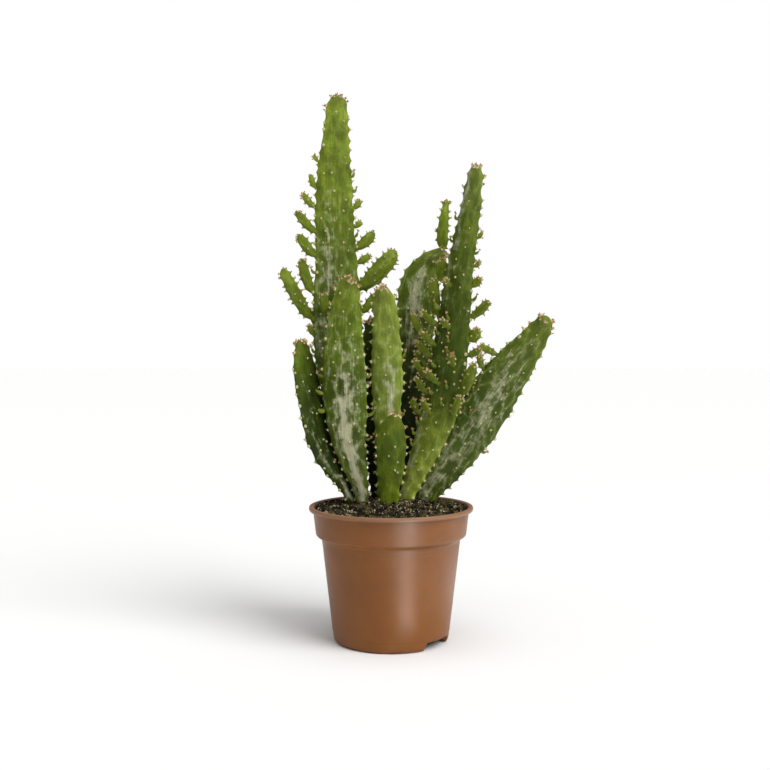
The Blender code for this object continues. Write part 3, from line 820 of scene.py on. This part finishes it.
def bud_tip_rows(tip, direction, half):
    """Four small areoles round the tip of a bud."""
    spread = unit(direction + 0.5 * chance.normal(size=(4, 3)))
    return np.column_stack([tip + spread * 0.3 * half, spread, np.tile(direction, (4, 1)),
                            np.full(4, 0.42 * MM), np.full(4, 0.95), np.ones(4)])


groups = {}
for name, surface in made_skins.items():
    groups.setdefault(surface.get("parent", name), []).append(areole_rows(surface))
for stem, tip, direction, half in bud_tips:
    groups.setdefault(stem, []).append(bud_tip_rows(tip, direction, half))
groups = {group: np.concatenate(blocks) for group, blocks in groups.items()}
print(sum(len(rows) for rows in groups.values()), "areoles")

# %% Felt, bristles and leaflets on them
BRISTLES, LEAFLETS = 7, 3  # on one areole


def felt_on(group, place, out, up, size, young):
    """One cushion on each areole."""
    mesh = scattered(group + "_felt", cushion, cushion_faces, place, axes_along(out, up),
                     size[:, None] * np.array([1.0, 1.15, 0.75]))
    with_values(mesh, "young", np.repeat(np.clip(young, 0, 0.8), len(cushion)))
    piece(group + "_felt", mesh, felt_material)


def bristles_on(group, *rows):
    """A tuft that leans out and a little to the tip; a bristle that would point inwards is turned out."""
    place, out, up, size, young, small = (np.repeat(row, BRISTLES, axis=0) for row in rows)
    lean = unit(out + 0.25 * up + 0.62 * chance.normal(size=out.shape))
    lean = lean + 1.05 * np.clip(-(lean * out).sum(axis=1, keepdims=True), 0, None) * out
    foot = place + size[:, None] * (0.3 * out + 0.27 * chance.normal(size=out.shape))
    long = size * np.where(small > 0, 1.7, 1.4) * chance.uniform(0.6, 1.3, len(size))
    thin = 0.16 * MM * chance.uniform(0.8, 1.3, len(size))
    mesh = scattered(group + "_bristles", bristle, bristle_faces, foot, axes_along(lean, up),
                     np.column_stack([thin, thin, long]))
    with_values(mesh, "young", np.repeat(young, len(bristle)))
    piece(group + "_bristles", mesh, bristle_material)


def leaflets_on(group, *rows):
    """Awl-shaped leaves that lean out and to the tip."""
    place, out, up, small = (np.repeat(row, LEAFLETS, axis=0) for row in rows)
    turned = chance.normal(size=out.shape)
    long = np.where(small > 0, 1.35, 2.3) * MM * chance.uniform(0.7, 1.25, len(small))
    mesh = scattered(group + "_leaflets", leaflet, leaflet_faces, place + 0.175 * MM * turned,
                     axes_along(unit(1.1 * out + 0.5 * up + 0.35 * turned), -up),
                     np.column_stack([0.22 * long, 0.22 * long, long]))
    with_values(mesh, "young", np.tile(np.clip(leaflet[:, 2] + 0.15, 0, 1), len(small)))
    piece(group + "_leaflets", mesh, leaflet_material)


for group, rows in groups.items():
    place, out, up = rows[:, :3], rows[:, 3:6], rows[:, 6:9]
    size, young, small = rows[:, 9:].T
    felt_on(group, place, out, up, size, young)
    bristles_on(group, place, out, up, size, young, small)
    fresh = young > 0.62
    if fresh.any():
        leaflets_on(group, place[fresh], out[fresh], up[fresh], small[fresh])

# %% [markdown]
# ## The pot
#
# A nursery pot is injection moulded from polypropylene, in one piece with a wall just over a
# millimetre thick. Its profile is turned round the axis: a floor, a tapered body, a stepped shoulder
# that lets pots nest, a collar and a lip. Turning alone can't make the two arches in the foot, where
# water runs out, so the floor is lifted there by a smooth hump.

# %% The pot's profile
pot_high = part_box("nursery_pot")[1]
TOP = pot_high.z
WALL, FLOOR = 1.2 * MM, 1.6 * MM
ARCHES = np.radians((-36, 144))


def side_corners(inset, floor):
    """Radius, height and how far each corner is cut back, from the axis up to the lip, in millimetres."""
    return np.array([
        (0.0, floor, 0), (33.0, floor, 0.5), (41.9 - inset, floor, 4.2 - inset),
        (42.6 - inset, 7.4, 0.2), (42.9 - inset, 7.9, 0.2), (50.6 - inset, 74.5, 1.2),
        (54.8 - inset, 77.3, 1.2), (56.8 - inset, 94.2, 0.6),
    ])


def pot_corners():
    """The whole section as one line: up the outside, over the lip and down the inside."""
    outside = side_corners(0.0, 0.0)
    lip = np.array([(56.9, 95.0, 0.3), (59.5, 94.9, 0.5), (60.0, 96.4, 0.8), (59.6, 98.0, 0.9),
                    (56.6, 98.0, 0.9)])
    inside = side_corners(WALL / MM, FLOOR / MM)[::-1]
    return np.concatenate([outside, lip, inside]) * MM


def cut_back(corners, pieces=5):
    """Each corner becomes a parabola between the points its cut back reaches on its two sides."""
    points = [corners[:1, :2]]
    for before, here, after in zip(corners[:-2], corners[1:-1], corners[2:]):
        first, second = before[:2] - here[:2], after[:2] - here[:2]
        reach = min(here[2], 0.48 * np.linalg.norm(first), 0.48 * np.linalg.norm(second))
        start, end = here[:2] + unit(first) * reach, here[:2] + unit(second) * reach
        t = np.linspace(0, 1, pieces)[:, None]
        points.append(start * (1 - t) ** 2 + here[:2] * 2 * t * (1 - t) + end * t**2)
    points.append(corners[-1:, :2])
    return np.concatenate(points)


def filled_in(points, step):
    """Extra points on the long straight runs, no further apart than the step."""
    rows = []
    for here, after in zip(points[:-1], points[1:]):
        count = max(int(math.ceil(np.linalg.norm(after - here) / step)), 1)
        rows.append(here + (after - here) * np.linspace(0, 1, count, endpoint=False)[:, None])
    return np.concatenate([*rows, points[-1:]])


profile = filled_in(cut_back(pot_corners()), 3.0 * MM)
print("pot profile:", len(profile), "points, lip radius and height in mm:", round(pot_high.x / MM, 1),
      round(TOP / MM, 1))


# %% The pot's surface
def notch_hump(x, y, azimuth, grow):
    """How far the floor is lifted: full height over the arch's middle, with sloping sides."""
    along = x * math.cos(azimuth) + y * math.sin(azimuth)
    across = -x * math.sin(azimuth) + y * math.cos(azimuth)
    side = np.clip(((14.5 + grow) * MM - np.abs(across)) / (1.6 * MM), 0, 1)
    inner = np.clip((along - (26.9 - grow) * MM) / (1.8 * MM), 0, 1)
    return (6.0 + grow) * MM * side * inner


def pot_surface(profile, columns=216):
    """Turns the profile round the axis, then lifts what lies lower than the two humps."""
    turn = np.linspace(0, 2 * math.pi, columns, endpoint=False)
    x, y = profile[:, :1] * np.cos(turn), profile[:, :1] * np.sin(turn)
    z = np.repeat(profile[:, 1:], columns, axis=1)
    inner = (np.arange(len(profile)) > len(profile) * 0.55)[:, None]
    for azimuth in ARCHES:
        over = notch_hump(x, y, azimuth, WALL / MM)
        over = np.where(over > 0, over + FLOOR - WALL, 0)
        z = np.maximum(z, np.where(inner, over, notch_hump(x, y, azimuth, 0.0)))
    return np.stack([x, y, z], axis=-1)


grid = pot_surface(profile[1:-1])
pot_mesh = mesh_of("nursery_pot_shell", closed(grid), *tube_faces(*grid.shape[:2]))
print("pot:", grid.shape[0], "rows x", grid.shape[1], "columns")

# %% [markdown]
# Coloured polypropylene straight from a polished mould has a satin gloss. Handling and splashed soil
# leave it duller in places: a film of dust and hair scratches round the body.


# %% Moulded terracotta plastic
def pot_plastic():
    material, tree, shader = new_material("moulded_terracotta_polypropylene")
    place = add(tree, "TexCoord").outputs["Object"]
    # Swirls in the melt, 40 mm across, and blotches of 8 mm.
    swirl = add(tree, "TexNoise", {"Vector": place, "Scale": 1 / (40 * MM), "Detail": 4.0, "Distortion": 0.6})
    tint = add(tree, "ValToRGB", {"Fac": swirl.outputs[0]},
               stops=[(0.3, "#784514"), (0.52, "#7e4a16"), (0.75, "#85501b")])
    # Dust lies as a thin pale film, thicker in cloudy patches.
    cloud = add(tree, "TexNoise", {"Vector": place, "Scale": 1 / (13 * MM), "Detail": 6.0, "Roughness": 0.65})
    dust = add(tree, "MapRange", {"Value": cloud.outputs[0], "From Min": 0.55, "From Max": 0.85,
                                  "To Max": 0.09})
    dusty = add(tree, "Mix", {0: dust.outputs[0], 6: tint.outputs[0], 7: linear("#a08a72")},
                data_type="RGBA")
    # Scratches run round the pot: noise stretched flat, 0.5 mm high and 30 mm long.
    flat = add(tree, "Mapping", {"Vector": place, "Scale": (30 * MM, 30 * MM, 0.5 * MM)},
               vector_type="TEXTURE")
    scratch = add(tree, "TexNoise", {"Vector": flat.outputs[0], "Scale": 1.0, "Detail": 2.0})
    lines = add(tree, "MapRange", {"Value": scratch.outputs[0], "From Min": 0.62, "From Max": 0.8,
                                   "To Max": 0.10})
    worn = add(tree, "Mix", {0: lines.outputs[0], 6: dusty.outputs[2], 7: linear("#b89b80")},
               data_type="RGBA")
    # The lip is painted pale: partly scuffing by hands and trays, partly a painted highlight for the grazing
    # reflection along it.
    height = add(tree, "SeparateXYZ", {0: place}).outputs["Z"]
    lip_wear_and_sheen = add(tree, "MapRange", {"Value": height, "From Min": 94 * MM, "From Max": 96.5 * MM,
                                   "To Max": 0.21})
    whole = add(tree, "Mix", {0: lip_wear_and_sheen.outputs[0], 6: worn.outputs[2], 7: linear("#b8a08c")},
                data_type="RGBA")
    tree.links.new(whole.outputs[2], shader.inputs["Base Color"])
    rough = add(tree, "MapRange", {"Value": cloud.outputs[0], "From Min": 0.3, "From Max": 0.75,
                                   "To Min": 0.36, "To Max": 0.46})
    tree.links.new(rough.outputs[0], shader.inputs["Roughness"])
    shader.inputs["IOR"].default_value = 1.49
    shader.inputs["Specular IOR Level"].default_value = 0.32
    # The wall shrank a little unevenly as it cooled.
    sink = add(tree, "TexNoise", {"Vector": place, "Scale": 1 / (18 * MM), "Detail": 1.0})
    grain = add(tree, "TexNoise", {"Vector": place, "Scale": 1 / (0.9 * MM), "Detail": 2.0})
    slow = add(tree, "Bump", {"Height": sink.outputs[0], "Strength": 0.25, "Distance": 0.8 * MM})
    fine = add(tree, "Bump", {"Height": grain.outputs[0], "Strength": 0.10, "Distance": 0.1 * MM,
                              "Normal": slow.outputs[0]})
    tree.links.new(fine.outputs[0], shader.inputs["Normal"])
    return material


pot = piece("nursery_pot_shell", pot_mesh, pot_plastic(), ["nursery_pot"])

# %% [markdown]
# ## Drain holes
#
# Under each arch two round holes let the water out. A hole in a wall is a job for a Boolean, which
# cuts one closed mesh out of another.

# %% Cut the drain holes
bm = bmesh.new()
for azimuth in ARCHES:
    for across in (-7.5 * MM, 7.5 * MM):
        place = Matrix.Rotation(azimuth, 4, "Z") @ Matrix.Translation((35.0 * MM, across, 6.0 * MM))
        bmesh.ops.create_cone(bm, cap_ends=True, segments=20, radius1=2 * MM, radius2=2 * MM, depth=12 * MM,
                              matrix=place)
cutter = linked("drain_cutter", mesh_from("drain_cutter", bm))
cut = pot.modifiers.new("drain", "BOOLEAN")
cut.operation, cut.solver, cut.object = "DIFFERENCE", "EXACT", cutter
bpy.context.view_layer.update()
graph = bpy.context.evaluated_depsgraph_get()
holed = bpy.data.meshes.new_from_object(pot.evaluated_get(graph))
pot.modifiers.clear()
pot.data = holed
bpy.data.objects.remove(cutter)
print("pot after the holes:", len(holed.polygons), "faces")

# %% [markdown]
# ## Soil
#
# Peat potting mix fills the pot to just under the lip: dark crumbs, a few pale grains of grit and
# short fibres. A displaced disc alone looks like cloth, and crumbs alone leave gaps, so there is a
# lumpy bed with crumbs scattered over it.

# %% The bed
EDGE = 55.1 * MM


def soil_height(radius):
    """A low mound: the rim less 2.2 mm, plus 5.5 mm that falls to the edge as a cosine."""
    return TOP - 2.2 * MM + 5.5 * MM * (1 + np.cos(np.pi * np.clip(radius / EDGE, 0, 1))) / 2


outer = np.array([(20, 4.5), (40.0, 4.5), (41.0, 8.5), (49.0, 74.8), (53.0, 78.0), (54.8, 92.0)]) * MM
rows = filled_in(outer, 8 * MM)
top_radius = np.linspace(EDGE, 0.8 * MM, 90)
bed = np.concatenate([rows, np.column_stack([top_radius, soil_height(top_radius)])])
turn = np.linspace(0, 2 * math.pi, 200, endpoint=False)
grid = np.stack([bed[:, :1] * np.cos(turn), bed[:, :1] * np.sin(turn), bed[:, 1:] + 0 * turn], axis=-1)
on_top = (np.arange(len(bed)) >= len(rows))[:, None]
lumps = sum(high * MM * waves(grid, length * MM, 9, seed)  # heights and lengths in millimetres
            for high, length, seed in ((0.9, 9.0, 5), (0.6, 3.2, 6), (0.35, 1.5, 8)))
grid[..., 2] += on_top * lumps
bed_mesh = mesh_of("peat_bed", closed(grid), *tube_faces(*grid.shape[:2]))
with_values(bed_mesh, "shade", np.full(len(bed_mesh.vertices), 0.3))
print("soil bed:", grid.shape[0], "rows x", grid.shape[1], "columns")


# %% Peat, grit and fibre materials
def crumb_material(name, dark, light, grain):
    """Crumbs: each copy's own shade, with grains of the given size in it."""
    material, tree, shader = new_material(name)
    place = add(tree, "TexCoord").outputs["Object"]
    shade = add(tree, "Attribute", attribute_name="shade").outputs["Fac"]
    noise = add(tree, "TexNoise", {"Vector": place, "Scale": 1 / grain, "Detail": 6.0, "Roughness": 0.7})
    mixed = add(tree, "Math", {0: noise.outputs[0], 1: 0.8, 2: shade}, operation="MULTIPLY_ADD")
    tint = add(tree, "ValToRGB", {"Fac": mixed.outputs[0]}, stops=[(0.70, dark), (1.15, light)])
    tree.links.new(tint.outputs[0], shader.inputs["Base Color"])
    bump = add(tree, "Bump", {"Height": noise.outputs[0], "Strength": 0.9, "Distance": 0.6 * MM})
    tree.links.new(bump.outputs[0], shader.inputs["Normal"])
    shader.inputs["Roughness"].default_value = 0.95
    shader.inputs["Specular IOR Level"].default_value = 0.25
    return material


peat = crumb_material("damp_peat_mix", "#0b0a05", "#4e4428", 2.2 * MM)
grit = crumb_material("pale_grit", "#6b6040", "#ccbf94", 1.0 * MM)
fibre = crumb_material("peat_fibre", "#3a2a18", "#7d6240", 1.5 * MM)
piece("peat_bed", bed_mesh, peat, ["potting_soil"])


# %% Crumbs and grit
def on_soil(count, inside):
    """Random places on the soil, evenly spread: the radius goes as the square root of chance."""
    radius = inside * np.sqrt(chance.uniform(0, 1, count))
    angle = chance.uniform(0, 2 * math.pi, count)
    return np.column_stack([radius * np.cos(angle), radius * np.sin(angle), soil_height(radius)])


def crumbs(name, count, smallest, largest, above, material, bright):
    """Lumps with twelve corners, squashed and turned at random, mostly small ones."""
    bm = bmesh.new()
    bmesh.ops.create_icosphere(bm, subdivisions=1, radius=1.0)
    lump = mesh_from("lump", bm)
    corners = read(lump.vertices, "co", 3)
    corners = corners * (1 + 0.22 * chance.normal(size=(len(corners), 1)).clip(-1, 1))
    faces = read(lump.polygons, "vertices", 3, np.int32)
    size = smallest + (largest - smallest) * chance.uniform(0, 1, count) ** 3
    places = on_soil(count, EDGE - 0.4 * largest - 0.3 * MM)
    places[:, 2] += above + 0.35 * size + chance.normal(0, 0.35 * MM, count)
    axes = axes_along(chance.normal(size=(count, 3)), chance.normal(size=(count, 3)))
    sizes = size[:, None] * chance.uniform(0.6, 1.15, (count, 3))
    mesh = scattered(name, corners, [faces], places, axes, sizes)
    mesh.shade_flat()
    with_values(mesh, "shade", np.repeat(chance.uniform(0, bright, count), len(corners)))
    piece(name, mesh, material)


crumbs("peat_crumbs", 7000, 0.35 * MM, 2.2 * MM, above=0.0, material=peat, bright=0.75)
crumbs("grit_grains", 2000, 0.32 * MM, 0.9 * MM, above=0.9 * MM, material=grit, bright=0.9)

# %% Fibres
strand, strand_faces = turned_shape([0, 0.7, 1, 1, 1, 0.6, 0], [-1, -0.9, -0.5, 0, 0.5, 0.9, 1], 4)
strand[:, 0] += 2.6 * strand[:, 2] ** 2
count = 260
lying = unit(chance.normal(size=(count, 3)) * np.array([1, 1, 0.12]))
places = on_soil(count, EDGE - 5 * MM)
places[:, 2] += 1.1 * MM
long, thin = chance.uniform(1.5, 4.0, count) * MM, chance.uniform(0.10, 0.22, count) * MM
mesh = scattered("fibres", strand, strand_faces, places, axes_along(lying, np.tile([0, 0, 1.0], (count, 1))),
                 np.column_stack([thin, thin, long]))
with_values(mesh, "shade", np.repeat(chance.uniform(0.2, 0.9, count), len(strand)))
piece("peat_fibres", mesh, fibre)
print("crumbs, grit and fibres scattered")

# %% [markdown]
# ## Floor, light and camera
#
# The plant stands on a plain white floor in a white room, as for a catalogue. The main light comes
# from the front and the right. Two bright cards in a row on the floor, the far one wider, draw the
# upright highlight on the pot, and a broad dim one at the side lights its right edge.

# %% Stage
bm = bmesh.new()
bmesh.ops.create_grid(bm, x_segments=1, y_segments=1, size=12.0)
floor = linked("floor", mesh_from("floor", bm))
paper, _, shader = new_material("white_paper")
shader.inputs["Base Color"].default_value = linear("#f2f2f1")
shader.inputs["Roughness"].default_value = 0.9
floor.data.materials.append(paper)

world = bpy.data.worlds.new("white_room")
world.use_nodes = True
sky = world.node_tree.nodes["Background"]
seen = add(world.node_tree, "LightPath").outputs["Is Camera Ray"]
level = add(world.node_tree, "MapRange", {"Value": seen, "To Min": 0.26, "To Max": 1.0})
world.node_tree.links.new(level.outputs[0], sky.inputs["Strength"])
sky.inputs["Color"].default_value = (1, 1, 1, 1)
bpy.context.scene.world = world


# %% Lights
def far_light(name, azimuth, elevation, spread, strength):
    """A light as wide as the spread, in degrees, so far off that it lights the whole floor evenly."""
    light = bpy.data.lights.new(name, "SUN")
    light.angle, light.energy = math.radians(spread), strength
    a, e = math.radians(azimuth), math.radians(elevation)
    away = Vector((math.sin(a) * math.cos(e), -math.cos(a) * math.cos(e), math.sin(e)))
    linked(name, light).rotation_euler = away.to_track_quat("Z", "Y").to_euler()


def bright_card(name, azimuth, distance, width, length, radiance):
    """A bright card on the floor, seen in the gloss only. Its power is pi times its area and radiance."""
    light = bpy.data.lights.new(name, "AREA")
    light.shape, light.size, light.size_y = "RECTANGLE", width, length
    light.energy = math.pi * width * length * radiance
    card = linked(name, light)
    a = math.radians(azimuth)
    card.location = (distance * math.sin(a), -distance * math.cos(a), 2 * MM)
    card.rotation_euler = (math.pi, 0, a)
    card.visible_camera = card.visible_diffuse = False


far_light("front_right", 50, 42, 40, 2.35)
far_light("overhead", 10, 80, 55, 1.3)
# The pot's wall narrows downwards, so from above it mirrors the floor in front of it.
bright_card("near_card", 22, 0.14, 0.035, 0.13, 7.0)
bright_card("far_card", 22, 0.38, 0.12, 0.35, 11.0)
bright_card("side_card", 84, 0.32, 0.30, 0.44, 1.1)

# %% Camera
lens = bpy.data.cameras.new("camera")
lens.lens = 48.16
lens.sensor_width = 36.0
lens.clip_start = 0.05
camera = linked("camera", lens)
camera.location = (-0.0044, -0.750, 0.210)
camera.rotation_euler = (math.radians(90 - 1.83), 0, 0)
bpy.context.scene.camera = camera
bpy.context.scene.view_settings.view_transform = "Standard"

# %% [markdown]
# ## Finish
#
# The dressed plant must still fit the plain one's box, give or take the bristles.

# %% Finish
bpy.context.view_layer.update()
